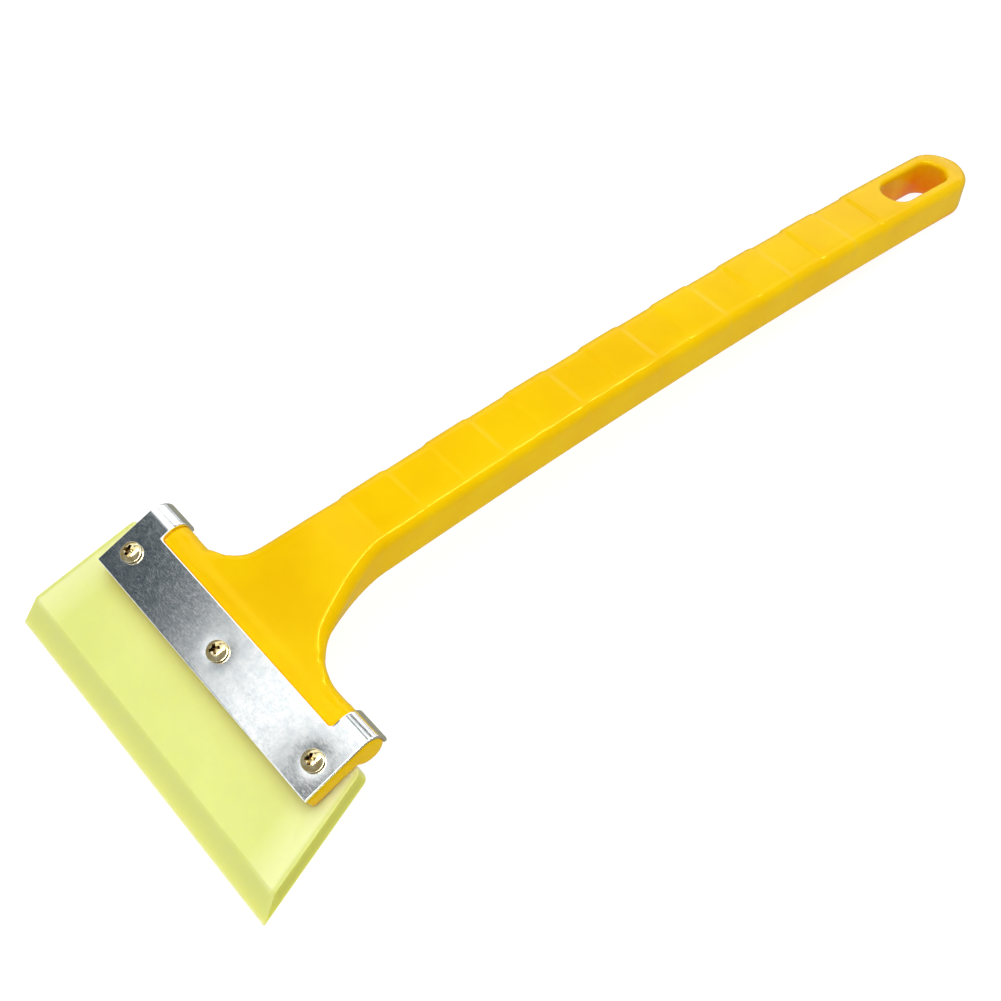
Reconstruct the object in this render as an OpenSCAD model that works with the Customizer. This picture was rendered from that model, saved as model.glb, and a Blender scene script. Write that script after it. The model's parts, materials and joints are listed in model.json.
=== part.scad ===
// Long-handled squeegee applicator: a moulded handle, a front clamp plate, a
// bevelled polyurethane blade and a backing strip, drawn together by three screws.
//
// The part lies on a table as it is put down: the working edge of the blade and
// the butt of the handle touch z = 0. X runs along the blade, +Y from the blade
// to the butt, +Z up. The origin is on the table, under the middle of the part.

/* [Whole tool] */
// Length from the working edge to the butt
overall_l = 344; // [280:2:420]
// Slope of the head above the table, in degrees
head_pitch = 17; // [14:0.5:24]

/* [Grip] */
// Width of the grip at the neck
grip_w = 22.4; // [18:0.2:27]
// Width of the grip at the butt
butt_w = 21.8; // [18:0.2:26]
// Thickness of the grip at the neck
grip_t = 15.6; // [13:0.5:18]
// Thickness of the grip at the butt
butt_t = 15.6; // [13:0.5:19]
// Height of the grip's middle line above the table, where the neck ends
grip_z = 30.2; // [28:0.2:34]
// How far the middle of the grip arches above a straight line
bow = 4; // [0:0.5:6]
// Radius of the grip's long edges
edge_r = 3.2; // [2:0.2:5]
// Number of raised bands across the grip
band_n = 7; // [2:1:9]
// Height of a band's step
band_h = 0.45; // [0.2:0.05:0.8]

/* [Neck] */
// Distance from the crossbar's axis to the grip
neck_l = 38; // [30:1:45]
// How much each side of the neck widens towards the crossbar
flare_w = 10.5; // [6:0.5:14]
// Radius in the corner between neck and crossbar
flare_r = 8; // [5:0.5:10]
// How much narrower the neck's underside is than its top, at each side
neck_draft = 1.5; // [0:0.1:2.5]

/* [Hang slot] */
// Width of the slot
slot_w = 11; // [8:0.5:12]
// Length of the slot, end to end
slot_l = 29; // [20:1:34]
// Plastic left between the slot and the butt's end
slot_wall = 8.8; // [4:0.2:11]
// Length of the raised land in front of the slot
slot_land = 13; // [6:0.5:20]

/* [Crossbar and tongue] */
// How far each end of the crossbar stands out past the clamp plate
bar_proud = 0.2; // [0:0.1:1]
// Diameter of the round crossbar
bar_d = 9.2; // [7.5:0.1:11.2]
// Thickness of the tongue in front of the crossbar
tongue_t = 5.6; // [4.4:0.1:7]

/* [Clamp plate and backing strip] */
// Length of the clamp plate along X
plate_l = 100; // [83:1:120]
// Thickness of the sheet metal
sheet_t = 1; // [0.6:0.1:1.4]
// Reach of the plate in front of the crossbar's axis
plate_reach = 20; // [17:0.5:23]
// Width of each tab that hooks over the crossbar
tab_w = 9.8; // [7:0.5:12]
// Distance from the crossbar's axis to the front of the window
window_y = 3; // [1:0.5:4]
// Radius of the window's front corners
window_r = 1.5; // [1:0.25:2.5]
// Angle that a tab wraps round the crossbar, from its top
tab_wrap = 115; // [90:5:150]
// Depth of the backing strip behind the blade
strip_w = 12.6; // [12:0.5:17]

/* [Blade] */
// How far the working edge reaches past each end of the clamp plate
edge_over = 11.2; // [6:0.2:15]
// How far the clamped edge reaches past the plate's left end
root_over_left = 6.6; // [0:0.2:10]
// How far the clamped edge reaches past the plate's right end
root_over_right = 2; // [0:0.2:10]
// Reach of the working edge in front of the crossbar's axis
blade_reach = 49.5; // [42:1:60]
// Gap between the crossbar and the clamped edge
root_gap = 0.6; // [0.3:0.1:2]
// Thickness of the blade
blade_t = 6.2; // [5:0.1:8]
// Width of the bevel on the working edge
bevel_w = 8.5; // [5:0.5:12]

/* [Fasteners] */
// Distance from each end of the clamp plate to the outer screws
screw_inset = 6.5; // [5:0.1:10]
// Distance from the crossbar's axis to the row of screws
screw_y = 11.7; // [10:0.2:13]
// Diameter of a screw's shank
screw_d = 3.5; // [2.9:0.1:4.2]
// Diameter of a screw's head
head_d = 6.3; // [6:0.1:8]
// Height of a screw's head
head_h = 2.4; // [1.8:0.1:3]
// Width of a nut across its flats
nut_af = 6; // [5.5:0.1:7]
// Height of a nut
nut_h = 2.8; // [2:0.1:3.2]

/* [Clearances] */
// Gap round a shank in the pieces it passes through
hole_gap = 0.15; // [0.1:0.05:0.3]
// Gap round a shank in its nut, which stands in for the thread
thread_gap = 0.05; // [0.03:0.01:0.08]
// Gap under a screw's head and between a tab and the crossbar
seat_gap = 0.05; // [0.02:0.01:0.1]

/* [Hidden] */

round_n = 48;                        // facets drawn on a round piece
corner_n = 5;                        // steps round each edge of the grip
neck_n = 14;                         // stations along the neck
cap_n = 10;                          // stations round the butt
ramp = 0.5;                          // half the length of a band's step
cap_l = butt_w * 0.5;                // length of the butt's rounded end
cap_round = 1.8;                     // how far the end's faces roll over
cap_least = 0.12;                    // width left at the very end, as a share

bar_r = bar_d / 2;
bar_l = plate_l + 2 * bar_proud;
blade_l = plate_l + 2 * edge_over;
blade_root_y = bar_r + root_gap;
screw_pitch = plate_l / 2 - screw_inset;
tongue_z = bar_r - tongue_t;         // underside of the tongue, in the head's frame
blade_z = tongue_z - blade_t;        // underside of the blade
strip_z = blade_z - sheet_t;         // underside of the backing strip
plate_z = bar_r + seat_gap;          // underside of the clamp plate
screw_tip_z = strip_z - nut_h - 1;   // a thread and a half shows below the nut

// Place of the crossbar's axis: the working edge then touches the table.
bar_y = -overall_l / 2 + blade_reach * cos(head_pitch) + blade_z * sin(head_pitch);
bar_z = blade_reach * sin(head_pitch) - blade_z * cos(head_pitch);

grip_y0 = bar_y + neck_l;            // the neck ends and the grip begins
grip_y1 = overall_l / 2;             // end of the butt
grip_l = grip_y1 - grip_y0;
band_w = (grip_l - slot_wall - slot_l - slot_land) / (2 * band_n);

// Stations: the neck, each band's two steps, and the rounded butt.
neck_ys = [for (i = [0:neck_n - 1]) bar_y + neck_l * pow(i / neck_n, 0.9)];
band_ys = [for (k = [0:2 * band_n]) for (s = [-ramp, ramp]) grip_y0 + k * band_w + s];
cap_ys = [for (i = [0:cap_n]) grip_y1 - cap_l * (1 - sin(90 * i / cap_n))];
stations = concat(neck_ys, band_ys, cap_ys);

function mix(a, b, t) = a + (b - a) * t;
function smooth(t) = t * t * (3 - 2 * t);
function along(y) = (y - grip_y0) / grip_l;

// Raised bands cross the top and shoulders. They start at the neck and alternate
// with gaps of the same width, and the land round the slot is raised as well.
function band_start(k) = grip_y0 + 2 * k * band_w;
function on_band(y, k) = max(0, min(1, (y - band_start(k) + ramp) / (2 * ramp),
                                    (band_start(k) + band_w + ramp - y) / (2 * ramp)));
function end_land(y) = max(0, min(1, (y - band_start(band_n) + ramp) / (2 * ramp)));
function relief(y) = band_h * max([end_land(y), for (k = [0:1:band_n - 1]) on_band(y, k)]);

// The butt: its sides close in as an ellipse, and its faces roll over a little.
function cap_t(y) = max(0, (y - grip_y1 + cap_l) / cap_l);
function cap_pull(y) = max(cap_least, sqrt(max(0, 1 - cap_t(y) * cap_t(y))));
function cap_roll(y) = cap_round * (1 - cap_pull(y));

// Half the thickness and half the width of the section at y, without the bands.
function half_t(y) = y < grip_y0
    ? mix(bar_r - 0.25, grip_t / 2, smooth((y - bar_y) / neck_l))
    : mix(grip_t, butt_t, along(y)) / 2;
function flare(y) = let (s = (y - bar_y - bar_r) / (neck_l - bar_r),
                         c = min(1, max(0, (y - bar_y - bar_r) / flare_r)))
    flare_w * pow(max(0, 1 - s), 1.5) + flare_r * (1 - sqrt(1 - pow(1 - c, 2)));
function half_w(y) = mix(grip_w, butt_w, max(0, along(y))) / 2 - band_h
                   + (y < grip_y0 ? flare(y) : 0);
function draft(y) = neck_draft * max(0, 1 - pow((y - bar_y) / neck_l, 2));

// The middle line: a smooth rise along the neck, and a shallow arch along the grip.
// It ends at the height that sets the lowest point of the butt on the table.
function arch(y) = 4 * bow * along(y) * (1 - along(y));
butt_z = max([for (y = stations) if (along(y) > 0.5)
              (half_t(y) - cap_roll(y) - arch(y) - grip_z * (1 - along(y))) / along(y)]);
function grip_mid(y) = mix(grip_z, butt_z, along(y)) + arch(y);
grip_slope = grip_mid(grip_y0 + 1) - grip_mid(grip_y0);
function neck_mid(t) = (2*t*t*t - 3*t*t + 1) * bar_z + (t*t*t - 2*t*t + t) * neck_l * tan(head_pitch)
                     + (3*t*t - 2*t*t*t) * grip_z + (t*t*t - t*t) * neck_l * grip_slope;
function mid_z(y) = y < grip_y0 ? neck_mid((y - bar_y) / neck_l) : grip_mid(y);

// One section: a rectangle with rounded corners in the XZ plane at y. Its upper
// half grows by the height of a band.
function section(y) =
    let (w = half_w(y) * cap_pull(y), t = half_t(y) - cap_roll(y), r = min(edge_r, w * 0.9, t * 0.9))
    [for (q = [0:3]) for (i = [0:corner_n])
        let (a = 90 * (q + i / corner_n), up = q < 2 ? relief(y) : 0, inset = q < 2 ? 0 : draft(y),
             cx = (q == 0 || q == 3 ? 1 : -1) * (w - r - inset + up * cap_pull(y)),
             cz = q < 2 ? t - r + up : r - t)
        [cx + r * cos(a), y, mid_z(y) + cz + r * sin(a)]];

// A closed skin over the sections.
module loft(ys) {
    ring = 4 * (corner_n + 1);
    rows = len(ys);
    points = [for (y = ys) each section(y)];
    sides = [for (j = [0:rows - 2]) for (i = [0:ring - 1])
        [j * ring + i, j * ring + (i + 1) % ring,
         (j + 1) * ring + (i + 1) % ring, (j + 1) * ring + i]];
    near = [for (i = [0:ring - 1]) ring - 1 - i];
    far = [for (i = [0:ring - 1]) (rows - 1) * ring + i];
    polyhedron(points = points, faces = concat(sides, [near, far]), convexity = 6);
}

// The head's own frame: origin on the crossbar's axis, +Y to the butt, +Z out of the plate.
module on_head() {
    translate([0, bar_y, bar_z]) rotate([head_pitch, 0, 0]) children();
}

module screw_holes(z0, z1) {
    for (x = [-screw_pitch, 0, screw_pitch])
        translate([x, -screw_y, z0])
            cylinder(d = screw_d + 2 * hole_gap, h = z1 - z0, $fn = round_n);
}

// A box given by its low and high corners.
module block(low, high) {
    translate(low) cube(high - low);
}

// The stadium-shaped slot, upright at the butt.
module hang_slot() {
    far_y = grip_y1 - slot_wall - slot_w / 2;
    near_y = grip_y1 - slot_wall - slot_l + slot_w / 2;
    for (y = [near_y, far_y])
        translate([0, y, -butt_t]) cylinder(d = slot_w, h = 4 * butt_t, $fn = round_n);
    block([-slot_w / 2, near_y, -butt_t], [slot_w / 2, far_y, 3 * butt_t]);
}

module handle() {
    color("gold") {
        difference() {
            loft(stations);
            hang_slot();
        }
        on_head() difference() {
            union() {
                translate([-bar_l / 2, 0, 0]) rotate([0, 90, 0])
                    cylinder(r = bar_r, h = bar_l, $fn = round_n);
                block([-bar_l / 2, -plate_reach, tongue_z], [bar_l / 2, 0, bar_r]);
            }
            screw_holes(tongue_z - 1, bar_r + 1);
        }
    }
}

// The window between the tabs, with round corners at its front.
module window() {
    half_l = plate_l / 2 - tab_w;
    z0 = plate_z - 1;
    z1 = plate_z + sheet_t + 1;
    block([window_r - half_l, -window_y, z0], [half_l - window_r, 1, z1]);
    block([-half_l, window_r - window_y, z0], [half_l, 1, z1]);
    for (x = [window_r - half_l, half_l - window_r])
        translate([x, window_r - window_y, z0])
            cylinder(r = window_r, h = z1 - z0, $fn = round_n);
}

// Side view of a tab: flat in front of the crossbar's axis, then curled round it.
module tab_side() {
    inner_r = bar_r + seat_gap;
    far = 3 * bar_r;
    difference() {
        circle(r = inner_r + sheet_t, $fn = 2 * round_n);
        circle(r = inner_r, $fn = 2 * round_n);
        translate([-2 * far, -far]) square(2 * far);
        rotate(90 - tab_wrap) translate([-far, -2 * far]) square(2 * far);
    }
    translate([-window_y, inner_r]) square([window_y, sheet_t]);
}

// One sheet: a flat front leaf, and two tabs curled over the crossbar's ends.
module clamp_plate() {
    color("silver") on_head() difference() {
        union() {
            difference() {
                block([-plate_l / 2, -plate_reach, plate_z], [plate_l / 2, 0, plate_z + sheet_t]);
                window();
            }
            for (x = [-plate_l / 2, plate_l / 2 - tab_w])
                translate([x, 0, 0]) rotate([90, 0, 90]) linear_extrude(tab_w) tab_side();
        }
        screw_holes(plate_z - 1, plate_z + sheet_t + 1);
    }
}

// A slab with slanted ends, bevelled down to its working edge.
module blade() {
    root_left = -plate_l / 2 - root_over_left;
    root_right = plate_l / 2 + root_over_right;
    color([0.88, 0.92, 0.55]) on_head() difference() {
        intersection() {
            translate([0, 0, blade_z]) linear_extrude(blade_t)
                polygon([[root_left, -blade_root_y], [-blade_l / 2, -blade_reach],
                         [blade_l / 2, -blade_reach], [root_right, -blade_root_y]]);
            translate([-blade_l / 2, 0, 0]) rotate([90, 0, 90]) linear_extrude(blade_l)
                polygon([[-blade_root_y, blade_z], [-blade_root_y, tongue_z],
                         [bevel_w - blade_reach, tongue_z], [-blade_reach, blade_z]]);
        }
        screw_holes(blade_z - 1, tongue_z + 1);
    }
}

module backing_strip() {
    color("silver") on_head() difference() {
        block([-plate_l / 2, -screw_y - strip_w / 2, strip_z],
              [plate_l / 2, -screw_y + strip_w / 2, blade_z]);
        screw_holes(strip_z - 1, blade_z + 1);
    }
}

// A pan-head screw with a cross recess.
module screw(x) {
    head_z = plate_z + sheet_t + seat_gap;
    crown = head_h * 0.45;
    dome_r = (pow(head_d / 2, 2) + crown * crown) / (2 * crown);
    color([0.8, 0.74, 0.55]) on_head() translate([x, -screw_y, 0]) difference() {
        union() {
            translate([0, 0, screw_tip_z])
                cylinder(d = screw_d, h = head_z - screw_tip_z + 0.2, $fn = round_n);
            translate([0, 0, head_z]) intersection() {
                cylinder(d = head_d, h = head_h, $fn = round_n);
                translate([0, 0, head_h - dome_r]) sphere(r = dome_r, $fn = 2 * round_n);
            }
        }
        for (a = [45, 135])
            translate([0, 0, head_z + head_h]) rotate([0, 0, a])
                cube([head_d * 0.55, head_d * 0.14, head_h * 1.3], center = true);
    }
}

module nut(x) {
    color("silver") on_head() translate([x, -screw_y, strip_z - nut_h]) difference() {
        cylinder(d = nut_af / cos(30), h = nut_h, $fn = 6);
        translate([0, 0, -1])
            cylinder(d = screw_d + 2 * thread_gap, h = nut_h + 2, $fn = round_n);
    }
}

handle();
clamp_plate();
blade();
backing_strip();
screw(-screw_pitch);  // screw_left
screw(0);  // screw_middle
screw(screw_pitch);  // screw_right
nut(-screw_pitch);  // nut_left
nut(0);  // nut_middle
nut(screw_pitch);  // nut_right
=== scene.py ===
import json
import math

import bmesh
import bpy
import numpy as np
from mathutils import Matrix, Vector


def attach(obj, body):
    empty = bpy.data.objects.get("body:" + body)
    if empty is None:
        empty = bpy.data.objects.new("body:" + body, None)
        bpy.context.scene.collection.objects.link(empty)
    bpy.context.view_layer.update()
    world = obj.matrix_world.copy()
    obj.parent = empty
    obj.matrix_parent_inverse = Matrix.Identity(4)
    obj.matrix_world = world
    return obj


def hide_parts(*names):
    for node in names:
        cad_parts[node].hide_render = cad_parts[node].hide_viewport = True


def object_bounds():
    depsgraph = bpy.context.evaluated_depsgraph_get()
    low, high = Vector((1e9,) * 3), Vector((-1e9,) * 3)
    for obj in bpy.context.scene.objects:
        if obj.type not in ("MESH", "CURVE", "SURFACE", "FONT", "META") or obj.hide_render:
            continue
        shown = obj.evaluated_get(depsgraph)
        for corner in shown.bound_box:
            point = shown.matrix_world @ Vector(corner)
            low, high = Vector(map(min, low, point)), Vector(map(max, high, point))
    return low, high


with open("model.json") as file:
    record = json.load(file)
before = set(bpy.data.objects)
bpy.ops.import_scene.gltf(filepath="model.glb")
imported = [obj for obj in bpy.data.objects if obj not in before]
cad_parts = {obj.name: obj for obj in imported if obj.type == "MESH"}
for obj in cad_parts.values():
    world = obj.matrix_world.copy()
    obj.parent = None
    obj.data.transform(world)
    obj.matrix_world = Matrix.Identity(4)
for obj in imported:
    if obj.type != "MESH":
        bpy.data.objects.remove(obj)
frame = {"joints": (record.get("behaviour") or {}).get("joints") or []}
cad_lo, cad_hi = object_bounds()


# ---- Table, light and camera ------------------------------------------------
# The tool lies on a white paper sweep under a broad softbox, with a fill from one side.
# Cards that only glossy surfaces see hang over it, for the steel and the plastic to mirror.
def linear(hex_colour):
    """An sRGB hex colour as linear RGBA."""
    parts = [int(hex_colour[i:i + 2], 16) / 255 for i in (1, 3, 5)]
    return [c / 12.92 if c <= 0.04045 else ((c + 0.055) / 1.055) ** 2.4 for c in parts] + [1.0]


def add(tree, kind, ins=None, **settings):
    """Adds a node. Settings are its properties; ins gives its inputs, as a value or as what feeds them."""
    node = tree.nodes.new(kind)
    for key, value in settings.items():
        setattr(node, key, value)
    sockets = [s for s in node.inputs if s.enabled]
    for key, value in (ins or {}).items():
        socket = sockets[key] if isinstance(key, int) else next(s for s in sockets if s.name == key)
        if isinstance(value, bpy.types.Node):
            value = next(s for s in value.outputs if s.enabled)
        if isinstance(value, bpy.types.NodeSocket):
            tree.links.new(value, socket)
        else:
            socket.default_value = value
    return node


def new_material(name):
    """A material with an empty node tree."""
    made = bpy.data.materials.new(name)
    made.use_nodes = True
    made.node_tree.nodes.clear()
    return made, made.node_tree


def softbox(name, place, aim, size, power):
    """A rectangular light that isn't mirrored in what it lights."""
    light = bpy.data.lights.new(name, "AREA")
    light.shape = "RECTANGLE"
    light.size, light.size_y = size
    light.energy = power
    lamp = bpy.data.objects.new(name, light)
    bpy.context.collection.objects.link(lamp)
    lamp.location = place
    lamp.rotation_euler = (Vector(aim) - Vector(place)).to_track_quat("-Z", "Y").to_euler()
    lamp.visible_glossy = False


camera = bpy.data.objects.new("camera", bpy.data.cameras.new("camera"))
bpy.context.collection.objects.link(camera)
camera.data.sensor_width = 36
camera.data.lens = 52.77
camera.data.clip_start = 0.01
camera.data.clip_end = 20
camera_place = (0.21229, -0.20748, 0.36031)
camera_right = Vector((0.65088, 0.75852, -0.03158))
camera_ahead = Vector((-0.47356, 0.37315, -0.79781))
facing = Matrix((camera_right, camera_right.cross(camera_ahead), -camera_ahead)).transposed()
camera.matrix_world = Matrix.Translation(camera_place) @ facing.to_4x4()
bpy.context.scene.camera = camera
bpy.context.scene.view_settings.view_transform = "Standard"

world = bpy.data.worlds.new("studio")
bpy.context.scene.world = world
world.use_nodes = True
sky = world.node_tree.nodes["Background"]
sky.inputs["Color"].default_value = linear("#FFFFFF")
sky.inputs["Strength"].default_value = 0.34
softbox("overhead", place=(-0.1, -0.15, 1.35), aim=(0, -0.05, 0), size=(1.3, 1.3), power=15.5)
softbox("side_fill", place=(0.76, 0.75, 0.85), aim=(0, 0.75, 0), size=(1.3, 0.10), power=3.0)

# The sweep is wide, so that a low view sees it reach almost to the horizon.
bpy.ops.mesh.primitive_plane_add(size=60, location=(0, 0, 0))
table = bpy.context.object
table.name = "table"
sweep, tree = new_material("white_paper_sweep")
paper_place = add(tree, "ShaderNodeTexCoord").outputs["Object"]
grain = add(tree, "ShaderNodeTexNoise", {"Vector": paper_place, "Scale": 15.0, "Detail": 2.0})
sweep_bump = add(tree, "ShaderNodeBump", {"Strength": 0.03, "Distance": 0.0002, "Height": grain.outputs[0]})
paper = add(tree, "ShaderNodeBsdfPrincipled", {
    "Base Color": linear("#7C7C7C"), "Roughness": 0.7, "Specular IOR Level": 0.1, "Normal": sweep_bump,
    "Emission Color": linear("#FFFFFF"), "Emission Strength": 0.9})
add(tree, "ShaderNodeOutputMaterial", {"Surface": paper})
table.data.materials.append(sweep)
table.visible_glossy = False


def card(name, low, high, height, colour, strength, fade):
    """A level card or light strip with soft edges, from one corner to the other. Only glossy
    surfaces see it."""
    middle = ((low[0] + high[0]) / 2, (low[1] + high[1]) / 2, height)
    bpy.ops.mesh.primitive_plane_add(size=1, location=middle)
    sheet = bpy.context.object
    sheet.name = name
    sheet.scale = (high[0] - low[0], high[1] - low[1], 1)
    made, tree = new_material(name)
    place = add(tree, "ShaderNodeSeparateXYZ", {0: add(tree, "ShaderNodeTexCoord").outputs["Object"]})
    cover = 1.0
    for axis in (0, 1):
        away = add(tree, "ShaderNodeMath", {0: place.outputs[axis]}, operation="ABSOLUTE")
        soft = add(tree, "ShaderNodeMapRange", {"Value": away, "From Min": 0.5,
                                                "From Max": 0.5 - fade / (high[axis] - low[axis])},
                   interpolation_type="SMOOTHSTEP")
        cover = add(tree, "ShaderNodeMath", {0: soft, 1: cover}, operation="MULTIPLY")
    shown = add(tree, "ShaderNodeEmission", {"Color": linear(colour), "Strength": strength})
    clear = add(tree, "ShaderNodeBsdfTransparent")
    add(tree, "ShaderNodeOutputMaterial", {
        "Surface": add(tree, "ShaderNodeMixShader", {0: cover, 1: clear, 2: shown})})
    sheet.data.materials.append(made)
    sheet.visible_camera = sheet.visible_diffuse = sheet.visible_shadow = sheet.visible_transmission = False


# White for the flat leaf of the plate, with a dark flag mirrored at its left end and
# another below its right screw.
card("white_ceiling", (-2.4, -1.6), (0.3, 3.2), 1.05, "#FFFFFF", 1.35, 0.3)
card("left_flag", (-2.0, -1.1), (-0.55, -0.30), 1.0, "#303D44", 1.0, 0.2)
card("right_flag", (-0.52, -1.00), (-0.25, -0.515), 1.0, "#141B1A", 1.0, 0.02)
# Dark flags mirrored where the tabs begin to bend, and along the grip.
card("bend_flag", (-0.85, 0.22), (-0.30, 0.38), 1.0, "#3A4245", 1.0, 0.03)
card("grip_flag", (-0.77, 0.18), (-0.55, 1.80), 0.98, "#23231C", 1.0, 0.03)
# White for the curl of the tabs, and a bright strip for the shoulder of the handle.
card("tab_card", (-2.5, 1.60), (0.5, 5.0), 0.45, "#FFFFFF", 1.2, 0.2)
card("shoulder_strip", (0.06, -0.75), (0.28, 0.75), 0.85, "#FFFFFF", 22.0, 0.10)
# The paper itself isn't mirrored; this duller card under it stands in for it.
card("floor_return", (-3.0, -3.0), (3.0, 3.0), -0.02, "#9C9A88", 1.0, 0.5)


# ---- Handle -----------------------------------------------------------------
# One glossy polypropylene moulding: a banded grip, a neck that widens into a round
# crossbar, a flat tongue in front of it, and a hang slot with rounded rims.
MM = 0.001
turn = next(j for j in frame["joints"] if j["name"] == "screw_middle_turn")
screw_y = 11.7
head_up = Vector(turn["axis"])
head_back = Vector((0, head_up.z, -head_up.y))
head_middle = Vector(turn["pos_m"]) + head_back * screw_y * MM


def on_head(x, y, z):
    """A place in millimetres from the crossbar's axis: y back along the head, z out of the plate."""
    return Vector((x * MM, 0, 0)) + head_middle + head_back * y * MM + head_up * z * MM


def to_object(name, made):
    """A new object from a bmesh, with its place in its mesh."""
    mesh = bpy.data.meshes.new(name)
    made.to_mesh(mesh)
    made.free()
    piece = bpy.data.objects.new(name, mesh)
    bpy.context.collection.objects.link(piece)
    return piece


def applied(piece):
    """The piece with its modifiers turned into a plain mesh."""
    graph = bpy.context.evaluated_depsgraph_get()
    plain = bpy.data.meshes.new_from_object(piece.evaluated_get(graph))
    piece.modifiers.clear()
    used = [m for m in plain.materials if m]
    plain.materials.clear()
    for m in used:
        plain.materials.append(m)
    piece.data = plain
    return piece


def smooth_shaded(piece, angle=40):
    """Shades the piece smooth, except at edges sharper than the angle in degrees."""
    piece.data.shade_smooth()
    piece.data.set_sharp_from_angle(angle=math.radians(angle))


def skin(rings):
    """A closed bmesh over a list of rings of points."""
    made = bmesh.new()
    rows = [[made.verts.new(p) for p in ring] for ring in rings]
    for a, b in zip(rows, rows[1:]):
        for i in range(len(a)):
            j = (i + 1) % len(a)
            made.faces.new((a[i], a[j], b[j], b[i]))
    made.faces.new(rows[0][::-1])
    made.faces.new(rows[-1])
    bmesh.ops.recalc_face_normals(made, faces=made.faces)
    return made


# Sizes and places in millimetres, y towards the butt and z up from the table.
bar_y = head_middle.y / MM
bar_z = head_middle.z / MM
bar_r = 4.6          # crossbar's radius
bar_half = 50.2      # half its length
tongue_z = -1.0      # underside of the tongue, out from the crossbar's axis
plate_reach = 20     # from that axis to the front of the tongue and the plate
neck_l = 38          # from that axis to the start of the grip
neck_sunk = 0.25     # how far inside the crossbar the neck starts
neck_draft = 1.5     # how far the lower half of the neck is drawn in
neck_round = 1.8     # how much rounder its edges are than the grip's
flare_w = 10.5       # how far the neck spreads on each side
flare_r = 8          # fillet where it meets the crossbar
grip_w = 22.4
butt_w = 21.8
grip_t = 15.6
edge_r = 3.2
grip_z = 30.2        # middle of the grip at its start
bow = 4              # rise of its arch
slot_w = 11
slot_l = 29
slot_wall = 8.8      # plastic behind the slot
slot_land = 13       # flat between the last band and the slot
band_n = 7
band_h = 0.45        # room left for the bands on each side
band_rise = 0.28     # how far they stand out
band_ramp = 0.7      # softness of their edges
cap_l = butt_w / 2   # length of the round end
cap_round = 1.8      # how much thinner the round end gets at its tip
cap_least = 0.12     # share of the width left at the tip
grip_y0 = bar_y + neck_l
grip_y1 = cad_hi.y / MM
grip_l = grip_y1 - grip_y0
band_w = (grip_l - slot_wall - slot_l - slot_land) / (2 * band_n)
pitch_slope = head_back.z / head_back.y


def mix(a, b, t):
    return a + (b - a) * t


def along(y):
    """Share of the grip's length at y."""
    return (y - grip_y0) / grip_l


def cap_pull(y):
    """Share of the width left at y by the round end."""
    t = max(0, (y - grip_y1 + cap_l) / cap_l)
    return max(cap_least, math.sqrt(max(0, 1 - t * t)))


def half_t(y):
    """Half the thickness at y, growing from the crossbar's to the grip's."""
    t = (y - bar_y) / neck_l
    return mix(bar_r - neck_sunk, grip_t / 2, t * t * (3 - 2 * t)) if t < 1 else grip_t / 2


def half_w(y):
    """Half the width at y between the bands, with the flare and its fillet in front of the grip."""
    wide = mix(grip_w, butt_w, max(0, along(y))) / 2 - band_h
    if y < grip_y0:
        s = (y - bar_y - bar_r) / (neck_l - bar_r)
        c = min(1, max(0, (y - bar_y - bar_r) / flare_r))
        wide += flare_w * max(0, 1 - s) ** 1.5 + flare_r * (1 - math.sqrt(1 - (1 - c) ** 2))
    return wide


def arch(y):
    """Rise of the grip's arch at y."""
    return 4 * bow * along(y) * (1 - along(y))


def cap_drop(y):
    """Half the thickness at y, less what the round end takes off."""
    return half_t(y) - cap_round * (1 - cap_pull(y))


cap_ys = [grip_y1 - cap_l * (1 - math.sin(math.pi / 2 * i / 20)) for i in range(21)]
grip_ys = list(np.arange(grip_y0, cap_ys[0] - 0.5, 1.5))
rear_ys = grip_ys[90:] + cap_ys
# The butt's middle is as low as it can be with the rear of the grip still above the table.
butt_z = max((cap_drop(y) - arch(y) - grip_z * (1 - along(y))) / along(y) for y in rear_ys)


def grip_mid(y):
    """Height of the middle of the grip at y."""
    return mix(grip_z, butt_z, along(y)) + arch(y)


def mid_z(y):
    """Height of the middle at y: in the neck, a curve from the head's pitch to the grip's."""
    if y >= grip_y0:
        return grip_mid(y)
    t = (y - bar_y) / neck_l
    slope = grip_mid(grip_y0 + 1) - grip_mid(grip_y0)
    return ((2 * t ** 3 - 3 * t * t + 1) * bar_z + (t ** 3 - 2 * t * t + t) * neck_l * pitch_slope
            + (3 * t * t - 2 * t ** 3) * grip_z + (t ** 3 - t * t) * neck_l * slope)


def section(y, corner_n=9):
    """A rounded rectangle at y; its lower half is drawn in where the neck has draft."""
    wide, thick = half_w(y) * cap_pull(y), cap_drop(y)
    through_neck = (y - bar_y) / neck_l
    radius = min(edge_r + neck_round * max(0, 1 - through_neck), wide * 0.9, thick * 0.9)
    draft = neck_draft * max(0, 1 - through_neck ** 2)
    points = []
    for quarter, (sx, sz) in enumerate(((1, 1), (-1, 1), (-1, -1), (1, -1))):
        for i in range(corner_n + 1):
            a = math.radians(90 * (quarter + i / corner_n))
            x = sx * (wide - radius - (draft if sz < 0 else 0)) + radius * math.cos(a)
            points.append(Vector((x, y, mid_z(y) + sz * (thick - radius) + radius * math.sin(a))) * MM)
    return points


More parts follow.
